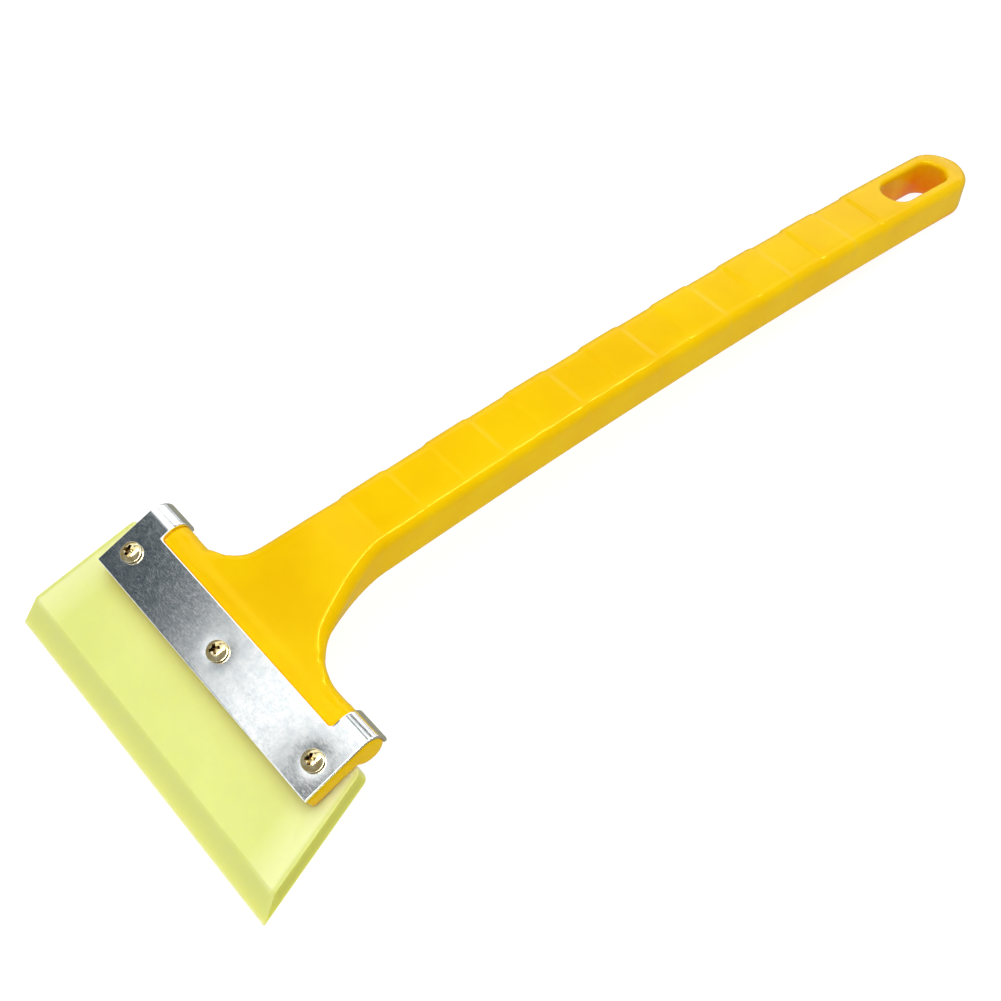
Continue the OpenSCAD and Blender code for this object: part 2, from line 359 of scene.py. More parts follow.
def slot_cutter(rim=1.3, under_wide=3.25, under_deep=6.24, past=3, steps=6, round_n=64):
    """The stadium that cuts the slot, opened out to round its rims, most of all underneath."""
    far = grip_y1 - slot_wall - slot_w / 2
    near = grip_y1 - slot_wall - slot_l + slot_w / 2
    quarter = np.linspace(0, math.pi / 2, steps)
    levels = []
    for side, wide, deep in ((-1, under_wide, under_deep), (1, rim, rim)):
        curl = [(wide * (1 - math.cos(a)), deep * (math.sin(a) - 1)) for a in quarter]
        curl.append((wide, past))
        levels += [(side, out, lift) for out, lift in (curl if side > 0 else curl[::-1])]
    rings = []
    for side, out, lift in levels:
        ring = []
        for i in range(round_n):
            a = 2 * math.pi * (i + 0.5) / round_n
            x = (slot_w / 2 + out) * math.cos(a)
            y = (far if math.sin(a) > 0 else near) + (slot_w / 2 + out) * math.sin(a)
            ring.append(Vector((x, y, mid_z(y) + side * (half_t(y) + lift))) * MM)
        rings.append(ring)
    return to_object("slot_cutter", skin(rings))


def bar_and_tongue(round_n=48, corner=0.7, corner_n=6, soft=0.4):
    """The crossbar and the tongue in front of it, as one bar with softened ends."""
    side = []
    front = corner - plate_reach
    for y, z, start in ((front, tongue_z + corner, 270), (front, bar_r - corner, 180)):
        for i in range(corner_n + 1):
            a = math.radians(start - 90 * i / corner_n)
            side.append((y + corner * math.cos(a), z + corner * math.sin(a)))
    last = -math.pi + math.asin(-tongue_z / bar_r)
    for i in range(round_n + 1):
        a = mix(math.pi / 2, last, i / round_n)
        side.append((bar_r * math.cos(a), bar_r * math.sin(a)))
    middle = Vector((sum(p[0] for p in side), sum(p[1] for p in side))) / len(side)
    rings = []
    slight = soft * 0.3
    for x, inset in ((-bar_half, soft), (slight - bar_half, slight), (soft - bar_half, 0),
                     (bar_half - soft, 0), (bar_half - slight, slight), (bar_half, soft)):
        ring = []
        for y, z in side:
            out = Vector((y, z)) - middle
            y, z = middle + out * (1 - inset / out.length)
            ring.append(on_head(x, y, z))
        rings.append(ring)
    return to_object("bar_and_tongue", skin(rings))


neck_n = 36
neck_ys = [bar_y + neck_l * i / neck_n for i in range(neck_n)]
handle = to_object("handle_moulding", skin([section(y) for y in neck_ys + grip_ys + cap_ys]))
cutter = slot_cutter()
cut = handle.modifiers.new("slot", "BOOLEAN")
cut.object, cut.operation, cut.solver = cutter, "DIFFERENCE", "EXACT"
applied(handle)
bpy.data.objects.remove(cutter)
bar = bar_and_tongue()
both = bmesh.new()
both.from_mesh(handle.data)
both.from_mesh(bar.data)
both.to_mesh(handle.data)
both.free()
bpy.data.objects.remove(bar)
fuse = handle.modifiers.new("fuse", "REMESH")
fuse.mode, fuse.voxel_size = "VOXEL", 0.6 * MM
relax = handle.modifiers.new("relax", "SMOOTH")
relax.factor, relax.iterations = 0.5, 4
applied(handle)

# The crook on each side, where the flare meets the crossbar, is blended smooth.
blend = bmesh.new()
blend.from_mesh(handle.data)
crook_x = (22, 36)
crook_y = (bar_y - 2, bar_y + 9)
crook = [v for v in blend.verts if crook_x[0] < abs(v.co.x) / MM < crook_x[1]
         and crook_y[0] < v.co.y / MM < crook_y[1]]
for _ in range(24):
    bmesh.ops.smooth_vert(blend, verts=crook, factor=0.5, use_axis_x=True, use_axis_y=True, use_axis_z=True)
blend.to_mesh(handle.data)
blend.free()

# Which way each point of the grip moves where a band is raised: up on top, out at the
# shoulders, and not at all underneath.
points = np.array([v.co for v in handle.data.vertices]) / MM
lift = np.zeros_like(points)
for i, (x, y, z) in enumerate(points):
    if y > grip_y0 - 2:
        wide, thick = half_w(y) * cap_pull(y) - edge_r, cap_drop(y) - edge_r
        rise = min(1, max(0, (z - mid_z(y) + thick) / (2 * thick)))
        lift[i] = (rise ** 2 * min(1, max(-1, x / max(1, wide))), 0, rise)
shoulder = handle.data.attributes.new("shoulder", "FLOAT_VECTOR", "POINT")
shoulder.data.foreach_set("vector", lift.ravel())


def new_geometry_tree(name, **sizes):
    """A geometry tree with a mesh coming in, an input for each size, and a mesh going out.
    Returns the tree and its inputs."""
    tree = bpy.data.node_groups.new(name, "GeometryNodeTree")
    tree.interface.new_socket("Mesh", in_out="INPUT", socket_type="NodeSocketGeometry")
    for size, value in sizes.items():
        kind = "NodeSocketVector" if isinstance(value, tuple) else "NodeSocketFloat"
        socket = tree.interface.new_socket(size, in_out="INPUT", socket_type=kind)
        socket.default_value = value
    tree.interface.new_socket("Mesh", in_out="OUTPUT", socket_type="NodeSocketGeometry")
    return tree, add(tree, "NodeGroupInput").outputs


def run_tree(piece, tree, **sizes):
    """Sets the tree's inputs by their identifiers, evaluates it and keeps the plain mesh."""
    modifier = piece.modifiers.new(tree.name, "NODES")
    modifier.node_group = tree
    for item in tree.interface.items_tree:
        if item.in_out == "INPUT" and item.name in sizes:
            modifier[item.identifier] = sizes[item.name]
    return applied(piece)


def maths(tree, operation, *values, clamp=False):
    """A Math node. Each value is a number or what feeds it."""
    return add(tree, "ShaderNodeMath", dict(enumerate(values)), operation=operation, use_clamp=clamp)


def moulded_polypropylene():
    """Gloss-moulded polypropylene: an even, saturated yellow with a faint orange-peel skin,
    light soaking a little way in, a few hair-fine scuffs from handling, and painted shade
    that turns it deeper orange in its hollows."""
    made, tree = new_material("gloss_yellow_polypropylene")
    place = add(tree, "ShaderNodeTexCoord").outputs["Object"]
    cloud = add(tree, "ShaderNodeTexNoise", {"Vector": place, "Scale": 45.0, "Detail": 3.0})
    colour = add(tree, "ShaderNodeValToRGB", {0: cloud})
    colour.color_ramp.elements[0].position, colour.color_ramp.elements[1].position = 0.35, 0.65
    colour.color_ramp.elements[0].color = linear("#F3C200")
    colour.color_ramp.elements[1].color = linear("#F8CC00")
    # Painted shade: where ambient occlusion finds hollows, such as the slot and under the plate's edges, the
    # yellow is mixed towards a deep orange.
    shade_occlusion = add(tree, "ShaderNodeAmbientOcclusion", {"Distance": 0.014}, samples=8)
    deep = add(tree, "ShaderNodeMapRange", {"Value": shade_occlusion.outputs["AO"], "From Min": 0.72, "From Max": 0.34})
    colour = add(tree, "ShaderNodeMix", {"Factor": deep, "A": colour, "B": linear("#E87A00")},
                 data_type="RGBA")
    peel = add(tree, "ShaderNodeTexNoise", {"Vector": place, "Scale": 700.0, "Detail": 2.0})
    drawn = add(tree, "ShaderNodeMapping", {"Vector": place, "Scale": (1.0, 0.06, 1.0)})
    scuff = add(tree, "ShaderNodeTexNoise", {"Vector": drawn, "Scale": 2600.0, "Detail": 4.0,
                                             "Roughness": 0.7})
    rough = add(tree, "ShaderNodeMapRange", {"Value": scuff, "From Min": 0.45, "From Max": 0.75,
                                             "To Min": 0.14, "To Max": 0.24})
    skin_bump = add(tree, "ShaderNodeBump", {"Strength": 0.12, "Distance": 0.0002, "Height": peel})
    shader = add(tree, "ShaderNodeBsdfPrincipled", {
        "Base Color": colour, "Roughness": rough, "IOR": 1.49, "Normal": skin_bump,
        "Specular IOR Level": 0.42, "Specular Tint": linear("#FFE060"),
        "Subsurface Weight": 0.12, "Subsurface Radius": (1.0, 0.45, 0.05), "Subsurface Scale": 0.003})
    add(tree, "ShaderNodeOutputMaterial", {"Surface": shader})
    return made


def band_tree():
    """Raises bands across the grip, from first, each as wide as the gap after it, and the land
    behind them. Each point moves its own way by the band's height, over a ramp at each edge."""
    tree, given = new_geometry_tree("raised_bands", first=0.0, width=0.015, height=0.0004, ramp=0.0005,
                                    land=0.1)
    y = add(tree, "ShaderNodeSeparateXYZ", {0: add(tree, "GeometryNodeInputPosition")}).outputs["Y"]
    period = maths(tree, "MULTIPLY", given["width"], 2.0)
    half = maths(tree, "MULTIPLY", given["width"], 0.5)
    from_first = maths(tree, "SUBTRACT", maths(tree, "SUBTRACT", y, given["first"]), half)
    steps = maths(tree, "DIVIDE", from_first, period)
    off = maths(tree, "ABSOLUTE", maths(tree, "SUBTRACT", steps, maths(tree, "ROUND", steps)))
    from_middle = maths(tree, "MULTIPLY", off, period)
    to_edge = maths(tree, "SUBTRACT", maths(tree, "ADD", half, given["ramp"]), from_middle)
    ramp_l = maths(tree, "MULTIPLY", given["ramp"], 2.0)
    band = maths(tree, "DIVIDE", to_edge, ramp_l, clamp=True)
    begun = maths(tree, "GREATER_THAN", y, maths(tree, "SUBTRACT", given["first"], half))
    past = maths(tree, "ADD", maths(tree, "SUBTRACT", y, given["land"]), given["ramp"])
    land = maths(tree, "DIVIDE", past, ramp_l, clamp=True)
    share = maths(tree, "MAXIMUM", maths(tree, "MULTIPLY", band, begun), land)
    way = add(tree, "GeometryNodeInputNamedAttribute", {"Name": "shoulder"}, data_type="FLOAT_VECTOR")
    move = add(tree, "ShaderNodeVectorMath", {0: way, 1: maths(tree, "MULTIPLY", share, given["height"])},
               operation="SCALE")
    moved = add(tree, "GeometryNodeSetPosition", {"Geometry": given["Mesh"], "Offset": move})
    whole = add(tree, "GeometryNodeRealizeInstances", {"Geometry": moved})
    moulded = add(tree, "GeometryNodeSetMaterial", {"Geometry": whole, "Material": yellow_plastic})
    add(tree, "NodeGroupOutput", {"Mesh": moulded})
    return tree


yellow_plastic = moulded_polypropylene()
run_tree(handle, band_tree(), first=grip_y0 * MM, width=band_w * MM, height=band_rise * MM,
         ramp=band_ramp * MM, land=(grip_y0 + 2 * band_n * band_w) * MM)
handle.data.shade_smooth()
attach(handle, "tool")
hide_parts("handle")


# ---- Clamp plate ------------------------------------------------------------
# One sheet of 1 mm stainless, bright-polished. Its flat leaf lies on the tongue,
# and a tab at each end is curled over the crossbar; between them is a window.
plate_half = 50.0
sheet_t = 1.0
tab_w = 9.8
tab_wrap = 115       # degrees round the crossbar
window_y = 3.0       # from the crossbar's axis to the front of the window
window_r = 1.5
seat_gap = 0.05
screw_pitch = 43.5
hole_r = 1.9
curl_r = bar_r + seat_gap + sheet_t
screw_xs = (-screw_pitch, 0.0, screw_pitch)


def pull_to(vert, centre, radius):
    """Moves a grid point radially on to a circle."""
    away = Vector((vert.co.x - centre[0], vert.co.y - centre[1]))
    vert.co.xy = Vector(centre) + away * (radius / away.length)


def punched_grid(xs, ys, holes, radius, is_gone=lambda x, y: False):
    """A flat grid with round holes punched through it, and no faces where is_gone says so."""
    made = bmesh.new()
    grid = [[made.verts.new((x, y, 0)) for x in xs] for y in ys]
    cell = xs[1] - xs[0]
    for low, high in zip(grid, grid[1:]):
        for i in range(len(xs) - 1):
            made.faces.new((low[i], low[i + 1], high[i + 1], high[i]))
    doomed = []
    for face in made.faces:
        x, y, _ = face.calc_center_median()
        if is_gone(x, y) or any(math.hypot(x - h[0], y - h[1]) < radius for h in holes):
            doomed.append(face)
    bmesh.ops.delete(made, geom=doomed, context="FACES")
    for vert in made.verts:
        for h in holes:
            if vert.is_boundary and math.hypot(vert.co.x - h[0], vert.co.y - h[1]) < radius + cell:
                pull_to(vert, h, radius)
    return made


def cut_from_sheet(piece, edge):
    """Gives the face the sheet's thickness, behind it, and takes the sharpness off its edges."""
    gauge = piece.modifiers.new("gauge", "SOLIDIFY")
    gauge.thickness = sheet_t * MM
    gauge.offset = -1.0
    edges = piece.modifiers.new("edges", "BEVEL")
    edges.width = edge * MM
    edges.segments = 2
    edges.limit_method = "ANGLE"
    edges.angle_limit = math.radians(50)
    applied(piece)
    smooth_shaded(piece)


def bent_sheet(cell=0.49, near=0.01, dimple=0.12, dimple_area=12):
    """The sheet's outer face: punched flat, its window's edge trued up, then dimpled under the
    screw heads and curled round the crossbar. A cell of its grid is about that many mm."""
    wrap_l = curl_r * math.radians(tab_wrap)
    half_window = plate_half - tab_w
    front = -window_y
    xs = list(np.linspace(-plate_half, plate_half, 205))
    ys = list(np.linspace(-plate_reach, wrap_l, 65))
    made = punched_grid(xs, ys, [(x, -screw_y) for x in screw_xs], hole_r,
                        lambda x, y: abs(x) < half_window and y > front)
    for vert in made.verts:
        x, y = vert.co.x, vert.co.y
        if vert.is_boundary and abs(y - front) < cell and abs(x) < half_window + cell:
            vert.co.y = front
        if vert.is_boundary and y > front - cell and abs(abs(x) - half_window) < cell:
            vert.co.x = math.copysign(half_window, x)
        for sx in (-1, 1):
            centre = (sx * (half_window - window_r), front + window_r)
            if sx * (vert.co.x - centre[0]) > 0 > vert.co.y - centre[1] and vert.is_boundary:
                if vert.co.y >= front - near and sx * vert.co.x <= half_window + near:
                    pull_to(vert, centre, window_r)
    for vert in made.verts:
        x, flat_y = vert.co.x, vert.co.y
        sink = sum(dimple * math.exp(-((x - hole_x) ** 2 + (flat_y + screw_y) ** 2) / dimple_area)
                   for hole_x in screw_xs)
        a = max(0.0, flat_y) / curl_r
        y = flat_y if flat_y < 0 else curl_r * math.sin(a)
        z = curl_r * math.cos(a) - sink
        vert.co = on_head(x, y, z)
    bmesh.ops.recalc_face_normals(made, faces=made.faces)
    middle = min(made.faces, key=lambda f: (f.calc_center_median() - on_head(20, -10, curl_r)).length)
    if middle.normal.dot(head_up) < 0:
        bmesh.ops.reverse_faces(made, faces=made.faces)
    return to_object("clamp_plate_sheet", made)


plate = bent_sheet()
cut_from_sheet(plate, 0.15)


def polished_stainless():
    """Bright-polished stainless sheet: a mirror that is slightly mottled where the polishing
    wheel has pulled the surface, with fine cross scratches and pin-head marks."""
    made, tree = new_material("polished_stainless_sheet")
    place = add(tree, "ShaderNodeTexCoord").outputs["Object"]
    mottle = add(tree, "ShaderNodeTexNoise", {"Vector": place, "Scale": 420.0, "Detail": 4.0,
                                              "Roughness": 0.6})
    swell = add(tree, "ShaderNodeTexNoise", {"Vector": place, "Scale": 90.0, "Detail": 2.0})
    height = maths(tree, "ADD", maths(tree, "MULTIPLY", mottle, 0.5), maths(tree, "MULTIPLY", swell, 1.2))
    bump = add(tree, "ShaderNodeBump", {"Strength": 0.05, "Distance": 0.0002, "Height": height})
    drawn = add(tree, "ShaderNodeMapping", {"Vector": place, "Scale": (0.3, 1.0, 1.0)})
    scratch = add(tree, "ShaderNodeTexNoise", {"Vector": drawn, "Scale": 2600.0, "Detail": 3.0})
    rough = add(tree, "ShaderNodeMapRange", {"Value": scratch, "From Min": 0.4, "From Max": 0.7,
                                             "To Min": 0.12, "To Max": 0.18})
    cells = add(tree, "ShaderNodeTexVoronoi", {"Vector": place, "Scale": 330.0, "Randomness": 1.0})
    chance = add(tree, "ShaderNodeTexNoise", {"Vector": place, "Scale": 260.0})
    small = maths(tree, "LESS_THAN", cells, 0.10)
    few = maths(tree, "GREATER_THAN", chance, 0.60)
    pit = maths(tree, "MULTIPLY", small, few)
    bump = add(tree, "ShaderNodeBump", {"Strength": 0.7, "Distance": 0.0002, "Height": pit, "Normal": bump})
    tint = add(tree, "ShaderNodeValToRGB", {0: mottle})
    tint.color_ramp.elements[0].position, tint.color_ramp.elements[1].position = 0.38, 0.62
    tint.color_ramp.elements[0].color = linear("#E6ECEE")
    tint.color_ramp.elements[1].color = linear("#F8FAFA")
    shader = add(tree, "ShaderNodeBsdfPrincipled", {
        "Base Color": tint, "Metallic": 1.0, "Roughness": rough, "Normal": bump})
    add(tree, "ShaderNodeOutputMaterial", {"Surface": shader})
    return made


stainless = polished_stainless()
plate.data.materials.append(stainless)
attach(plate, "tool")
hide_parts("clamp_plate")


# ---- Blade ------------------------------------------------------------------
# A cast polyurethane slab, cut to shape: its ends slant, its front is bevelled down
# to the working edge, and its clamped corners are rounded. The screws pass through it.
blade_t = 6.2
blade_reach = 49.5           # from the crossbar's axis to the working edge
blade_root = bar_r + 0.6     # from that axis to the clamped edge
bevel_w = 8.5
edge_half = 61.2
root_left = 56.6
root_right = 52.0
blade_z = tongue_z - blade_t
left_slant = (edge_half - root_left) / (blade_reach - blade_root)
right_slant = (edge_half - root_right) / (blade_reach - blade_root)


def blade_slab(rear_r=2.2, cuts=6):
    """The slab between its plan outline on top and below; the top stops where the bevel starts."""
    plan = [(-edge_half, -blade_reach), (edge_half, -blade_reach)]
    for side, reach in ((1, root_right), (-1, root_left)):
        corner = Vector((side * reach, -blade_root))
        down = (Vector((side * edge_half, -blade_reach)) - corner).normalized()
        along_x = Vector((-side, 0))
        fan = [corner + (down * (1 - t) ** 2 + along_x * t * t) * rear_r for t in np.linspace(0, 1, cuts)]
        plan += [tuple(p) for p in (fan if side > 0 else fan[::-1])]
    made = bmesh.new()
    top = [made.verts.new((x, max(y, bevel_w - blade_reach), tongue_z)) for x, y in plan]
    low = [made.verts.new((x, y, blade_z)) for x, y in plan]
    top[0].co.x = bevel_w * left_slant - edge_half
    top[1].co.x = edge_half - bevel_w * right_slant
    for i in range(len(plan)):
        j = (i + 1) % len(plan)
        made.faces.new((low[i], low[j], top[j], top[i]))
    made.faces.new(top)
    made.faces.new(low[::-1])
    bmesh.ops.recalc_face_normals(made, faces=made.faces)
    for vert in made.verts:
        vert.co = on_head(*vert.co)
    return to_object("blade_slab", made)


def screw_cutter(length=30):
    """The three stems that bore the screw holes."""
    made = bmesh.new()
    upright = head_up.to_track_quat("Z", "Y").to_matrix().to_4x4()
    for x in screw_xs:
        stem = bmesh.ops.create_cone(made, cap_ends=True, segments=48, radius1=hole_r * MM,
                                     radius2=hole_r * MM, depth=length * MM)
        placed = Matrix.Translation(on_head(x, -screw_y, 0)) @ upright
        bmesh.ops.transform(made, matrix=placed, verts=stem["verts"])
    return to_object("screw_cutter", made)


blade = blade_slab()
stems = screw_cutter()
holes = blade.modifiers.new("holes", "BOOLEAN")
holes.object, holes.operation, holes.solver = stems, "DIFFERENCE", "EXACT"
softened = blade.modifiers.new("softened", "BEVEL")
softened.width = 0.3 * MM
softened.segments = 3
softened.limit_method = "ANGLE"
softened.angle_limit = math.radians(25)
applied(blade)
bpy.data.objects.remove(stems)
smooth_shaded(blade, 30)


def cast_polyurethane():
    """Cast polyurethane: milky and translucent, pale green-yellow with the light soaking right
    through. Painted shade deepens its cut ends, the rim round them and the bevel, and a painted
    glow pales it just inside the ends."""
    made, tree = new_material("translucent_cast_polyurethane")
    place = add(tree, "ShaderNodeTexCoord").outputs["Object"]
    cloud = add(tree, "ShaderNodeTexNoise", {"Vector": place, "Scale": 28.0, "Detail": 3.0})
    body = add(tree, "ShaderNodeValToRGB", {0: cloud})
    body.color_ramp.elements[0].position, body.color_ramp.elements[1].position = 0.3, 0.7
    body.color_ramp.elements[0].color = linear("#DDE383")
    body.color_ramp.elements[1].color = linear("#E6EC92")
    # Painted shade on the end faces, found by which way they face.
    normal = add(tree, "ShaderNodeNewGeometry").outputs["Normal"]
    normal_x = add(tree, "ShaderNodeSeparateXYZ", {0: normal}).outputs["X"]
    end_face_shade = add(tree, "ShaderNodeMapRange", {"Value": maths(tree, "ABSOLUTE", normal_x), "From Min": 0.5,
                                              "From Max": 0.9}, interpolation_type="SMOOTHSTEP")
    back = add(tree, "ShaderNodeVectorMath", {0: place, 1: head_back}, operation="DOT_PRODUCT")
    back = back.outputs["Value"]
    edge = head_middle.dot(head_back) - blade_reach * MM
    bevel = edge + bevel_w * MM
    # Painted shade on the bevel.
    bevel_shade = add(tree, "ShaderNodeMapRange", {"Value": back, "From Min": bevel, "From Max": bevel - 0.0015})

    # How far from the middle a point would be if the slab's ends were square.
    sideways = add(tree, "ShaderNodeSeparateXYZ", {0: place}).outputs["X"]
    by_side = maths(tree, "MULTIPLY", maths(tree, "SIGN", sideways), (right_slant - left_slant) / 2)
    slant = maths(tree, "ADD", by_side, (right_slant + left_slant) / 2)
    missing = maths(tree, "MULTIPLY", maths(tree, "SUBTRACT", back, edge), slant)
    across = maths(tree, "ADD", maths(tree, "ABSOLUTE", sideways), missing)
    # A painted glow in the band just inside the ends, and painted shade along their rim.
    end_glow = add(tree, "ShaderNodeMapRange", {"Value": across, "From Min": 0.048, "From Max": 0.060,
                                                "To Max": 0.6})
    rim_shade = add(tree, "ShaderNodeMapRange", {"Value": across, "From Min": 0.0594, "From Max": 0.0604,
                                              "To Max": 0.8})
    # Each of these tones is painted light or shade, mixed in by its mask.
    colour = body
    for share, tone in ((end_glow, "#F4F7C8"), (rim_shade, "#D3DA70"), (bevel_shade, "#DEE28C"),
                        (end_face_shade, "#CCCE62")):
        colour = add(tree, "ShaderNodeMix", {"Factor": share, "A": colour, "B": linear(tone)},
                     data_type="RGBA")
    fine = add(tree, "ShaderNodeTexNoise", {"Vector": place, "Scale": 900.0, "Detail": 3.0})
    drag = add(tree, "ShaderNodeMapping", {"Vector": place, "Scale": (0.04, 1.0, 1.0)})
    knife = add(tree, "ShaderNodeTexNoise", {"Vector": drag, "Scale": 1600.0, "Detail": 2.0})
    height = maths(tree, "ADD", maths(tree, "MULTIPLY", fine, 0.5), maths(tree, "MULTIPLY", knife, 0.5))
    bump = add(tree, "ShaderNodeBump", {"Strength": 0.12, "Distance": 0.0002, "Height": height})
    rough = add(tree, "ShaderNodeMapRange", {"Value": fine, "To Min": 0.32, "To Max": 0.5})
    shader = add(tree, "ShaderNodeBsdfPrincipled", {
        "Base Color": colour, "Roughness": rough, "IOR": 1.5, "Normal": bump, "Specular IOR Level": 0.4,
        "Subsurface Weight": 0.85, "Subsurface Radius": (1.0, 1.0, 0.45), "Subsurface Scale": 0.006})
    add(tree, "ShaderNodeOutputMaterial", {"Surface": shader})
    return made


blade.data.materials.append(cast_polyurethane())
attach(blade, "tool")
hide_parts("blade")


# ---- Backing strip ----------------------------------------------------------
# A flat strip of the same sheet behind the blade, sheared to length with its corners
# clipped round. It spreads the pull of the nuts along the clamped edge.
strip_w = 12.6
strip_half = plate_half
strip_top = blade_z


def flat_strip(corner=2.0):
    """The strip's upper face: punched flat, with its corners drawn in to a round."""
    mid = -screw_y
    xs = list(np.linspace(-strip_half, strip_half, 205))
    ys = list(np.linspace(mid - strip_w / 2, mid + strip_w / 2, 31))
    made = punched_grid(xs, ys, [(x, mid) for x in screw_xs], hole_r)
    for vert in made.verts:
        past_x = abs(vert.co.x) - (strip_half - corner)
        past_y = abs(vert.co.y - mid) - (strip_w / 2 - corner)
        if past_x > 0 and past_y > 0:
            shrink = max(past_x, past_y) / math.hypot(past_x, past_y)
            vert.co.x = math.copysign(strip_half - corner + past_x * shrink, vert.co.x)
            vert.co.y = mid + math.copysign(strip_w / 2 - corner + past_y * shrink, vert.co.y - mid)
    for vert in made.verts:
        vert.co = on_head(vert.co.x, vert.co.y, strip_top)
    bmesh.ops.recalc_face_normals(made, faces=made.faces)
    made.faces.ensure_lookup_table()
    if made.faces[0].normal.dot(head_up) < 0:
        bmesh.ops.reverse_faces(made, faces=made.faces)
    return to_object("backing_strip_sheet", made)


strip = flat_strip()
cut_from_sheet(strip, 0.12)
strip.data.materials.append(stainless)
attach(strip, "tool")
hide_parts("backing_strip")


# ---- Screws -----------------------------------------------------------------
# Three M3.5 pan-head machine screws with a cross recess, cold-headed steel with a
# rolled thread and yellow zinc plate. Each can be turned out by itself.
head_d = 6.3
head_h = 2.4
head_z = curl_r + seat_gap
shank_d = 3.5
thread_pitch = 0.6
thread_depth = 0.25
nut_h = 2.8
past_nut = 1.0       # thread showing behind the nut
screw_tip = strip_top - sheet_t - nut_h - past_nut


